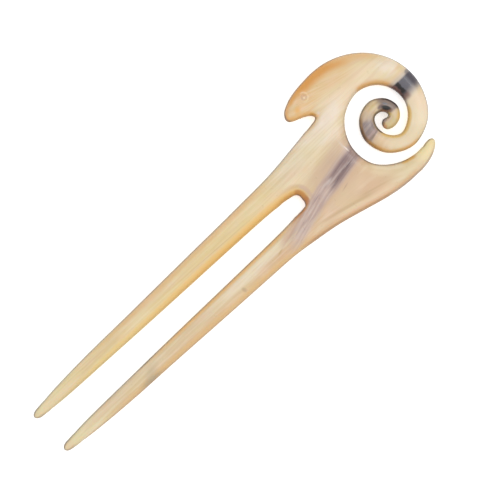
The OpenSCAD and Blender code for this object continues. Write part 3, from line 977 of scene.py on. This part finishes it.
def band_vein(horn):
    """A dark vein across the coil's outer turn: blue-grey where a painted reflection lies on its gloss, black
    in its inner third, with a red-brown inner edge and a thin line of painted highlight.
    """
    outer = horn.both(horn.fade(horn.from_coil, 6.6, 7.6), horn.fade(horn.x, 36, 38))
    top, low = horn.dot(horn.place, (-0.03, 1.0, 0.0)), horn.past(3)
    halo = horn.both(outer, horn.fade(top, 6.2, 4.3), horn.fade(low, -2.0, 0.6))
    horn.paint((192, 178, 168), halo, 0.85)
    burnt = horn.both(outer, horn.sector(-1, 44, 0.9), horn.fade(horn.from_coil, 9.8, 8.6))
    horn.paint((140, 98, 76), burnt, 0.8)
    band = horn.both(outer, horn.fade(top, 4.6, 3.9), horn.fade(low, -1.3, 1.9))
    # The blue-grey is the dark vein with a painted reflection on its gloss.
    horn.paint((90, 88, 97), band, 0.98)
    horn.spot((118, 110, 110), (46.4, 6.1), (1.3, 0.9), turn=20, core=0.3, strength=0.75)
    lowest = horn.both(band, horn.fade(low, 1.4, 0.2), horn.fade(horn.x, 43.4, 42.2))
    horn.paint((130, 94, 82), lowest, 0.7)
    ragged = horn.math("ADD", horn.x, horn.noise(horn.place, 1.3, 2.0))
    black = horn.both(outer, horn.fade(top, 4.6, 4.0), horn.fade(low, 0.2, 1.7))
    black = horn.both(black, horn.fade(ragged, 43.1, 42.6))
    horn.paint((24, 16, 16), black, 0.98)
    horn.paint((126, 90, 82), horn.both(black, horn.fade(ragged, 42.1, 41.2)), 0.85)
    horn.paint((76, 68, 76), horn.both(band, horn.fade(ragged, 45.2, 46.2)), 0.7)
    # Painted highlight: a thin light line across the band.
    horn.paint((150, 146, 156), horn.both(band, horn.between(ragged, 44.95, 45.05, 0.15)), 0.5)


def marks(horn):
    """Small dark marks and clouds on the right prong."""
    horn.dab((160, 146, 120), (-66.0, -8.8), (5.5, 1.7), turn=3, drawn="frayed", strength=0.8)
    horn.spot((190, 174, 144), (-65.0, -7.2), (5.0, 2.4), turn=30, strength=0.5)
    horn.dab((160, 140, 106), (-63.0, -3.8), (5.0, 1.2), core=0.2, rim=(0.7, 0.3), strength=0.7)
    horn.spot((192, 164, 128), (-29.5, -7.9), (0.9, 1.2), turn=15, core=0.2, strength=0.8)
    horn.spot((190, 158, 104), (-14.8, -7.0), (1.8, 0.4), turn=15, strength=0.7)


def prong_lines(horn):
    """A thin tan strand on the left prong, and a brown line of painted shade along the right one's back edge
    and round both tips.
    """
    horn.spot((206, 174, 122), (-28, 5.95), (22, 0.3), turn=-1.8, strength=0.5)
    # Painted shade: brown lines right at the edge.
    lower = horn.both(horn.fade(horn.y, -7.4, -8.2), horn.fade(horn.x, 0, -14), horn.rim(0.6, 0.2))
    horn.paint((190, 148, 100), lower, 0.6)
    horn.paint((170, 140, 112), horn.both(horn.fade(horn.x, -92, -97), horn.rim(0.7, 0.2)), 0.6)


def painted_edge_shade(horn):
    """Painted shade along the edge, with a thin dark line of painted shade on its upper half where it turns
    to the fork's left.
    """
    turned = horn.add("ShaderNodeTexCoord", {}, "Normal")
    left = horn.dot(turned, (0.3, 0.95, 0.0))
    horn.darken((0.55, 0.58, 0.56), horn.math("MULTIPLY", horn.rim(0.9, 0.3), 0.2))
    fin = horn.both(horn.fade(horn.y, -11, -12), horn.fade(horn.x, 28, 32))
    line = horn.both(horn.rim(0.48, 0.16), horn.fade(left, -0.5, 0.4, 0.3, 1.0))
    line = horn.both(line, horn.fade(inner_low_side(horn), 0, 1, 1.0, 0.3), horn.fade(fin, 0, 1, 1.0, 0.2))
    line = horn.both(line, horn.fade(horn.z, 0.8, 2.6, 0.25, 1.0))
    horn.darken((0.6, 0.57, 0.48), line)


def gap_wall_painted_shade(horn):
    """A dark brown line of painted shade along the palm's side of the coil's gap."""
    wall = horn.both(horn.rim(0.55, 0.2), horn.between(horn.from_coil, 12.6, 14.6, 0.3))
    wall = horn.both(wall, horn.fade(horn.x, 25, 21), horn.fade(horn.y, -7.5, -4.5, 0.25, 1.0))
    horn.paint((90, 68, 58), wall, 0.85)


def horn_surface(horn):
    """Hand-polished gloss: smooth, with slight ups and downs."""
    socket = horn.shader.inputs
    uneven = horn.noise(horn.place, 0.8, 2.0)
    horn.feed(socket["Base Color"], horn.colour)
    horn.feed(socket["Roughness"], horn.fade(uneven, 0.2, 0.8, 0.27, 0.33))
    bump = horn.add("ShaderNodeBump", {"Strength": 0.4, "Distance": 0.01 * MM, "Height": uneven})
    horn.feed(socket["Normal"], bump)
    socket["Subsurface Weight"].default_value = 0.2
    socket["Subsurface Radius"].default_value = (1.0, 0.6, 0.35)
    socket["Subsurface Scale"].default_value = 0.8 * MM
    socket["IOR"].default_value = 1.52


def horn_material():
    """The horn, with its layers from the palm's broad tints to the thin lines of painted shade at the edge.
    """
    horn = Horn()
    layers = (
        palm_tints, head_tints, coil_tints, prong_tints, clouds, palm_streaks, crown_amber, muzzle_tints,
        eye_tints, prong_edges, back_edge, coil_edges, crotch_tints, palm_vein, vein_marks, ring_vein,
        ring_edges, curl_vein, bulb_tints, band_vein, marks, prong_lines, painted_edge_shade, gap_wall_painted_shade,
    )
    for layer in layers:
        layer(horn)
    horn_surface(horn)
    return horn.material


def add_light(name, place, size, power):
    """A rectangle of soft light that points at the fork."""
    data = bpy.data.lights.new(name, "AREA")
    data.shape = "RECTANGLE"
    data.size, data.size_y = size[0] * MM, size[1] * MM
    data.energy = power
    light = bpy.data.objects.new(name, data)
    light.location = Vector(place) * MM
    light.rotation_mode = "QUATERNION"
    to_target = Vector(LIGHT_TARGET) * MM - light.location
    light.rotation_quaternion = to_target.to_track_quat("-Z", "Y")
    bpy.context.scene.collection.objects.link(light)


def add_floor():
    """The pale floor that the fork lies on, glowing slightly so that it comes out white."""
    mesh = bpy.data.meshes.new("floor")
    r = FLOOR_HALF * MM
    mesh.from_pydata([(-r, -r, 0), (r, -r, 0), (r, r, 0), (-r, r, 0)], [], [(0, 1, 2, 3)])
    floor = bpy.data.objects.new("floor", mesh)
    bpy.context.scene.collection.objects.link(floor)
    paint = Nodes("floor_paint")
    paint.shader.inputs["Base Color"].default_value = FLOOR_COLOUR
    paint.shader.inputs["Roughness"].default_value = 0.9
    paint.shader.inputs["Emission Color"].default_value = WHITE
    paint.shader.inputs["Emission Strength"].default_value = FLOOR_GLOW
    mesh.materials.append(paint.material)


def studio():
    """Floor, even white surroundings and lights."""
    add_floor()
    world = bpy.data.worlds.new("studio")
    world.use_nodes = True
    background = world.node_tree.nodes["Background"]
    background.inputs["Color"].default_value = WHITE
    background.inputs["Strength"].default_value = SKY_STRENGTH
    bpy.context.scene.world = world
    for light in LIGHTS:
        add_light(*light)
    bpy.context.scene.view_settings.view_transform = "Standard"


def add_camera():
    """The photograph's camera: straight above, at the distance where a pixel has its size on the fork."""
    low, high = cad_box
    data = bpy.data.cameras.new("camera")
    data.lens, data.sensor_width = LENS, SENSOR
    data.clip_start = NEAREST * MM
    camera = bpy.data.objects.new("camera", data)
    distance = PHOTO_PIXELS * PIXEL * LENS / SENSOR
    camera.location = Vector((*PHOTO_CENTRE, distance)) * MM
    camera.location.z += (low.z + high.z) / 2
    camera.rotation_euler.z = math.radians(PHOTO_TURN)
    bpy.context.scene.collection.objects.link(camera)
    bpy.context.scene.camera = camera


add_camera()
studio()
body = horn_body("horn_body", "fork")
body.data.materials.append(horn_material())
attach(body, "root")
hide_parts("fork")
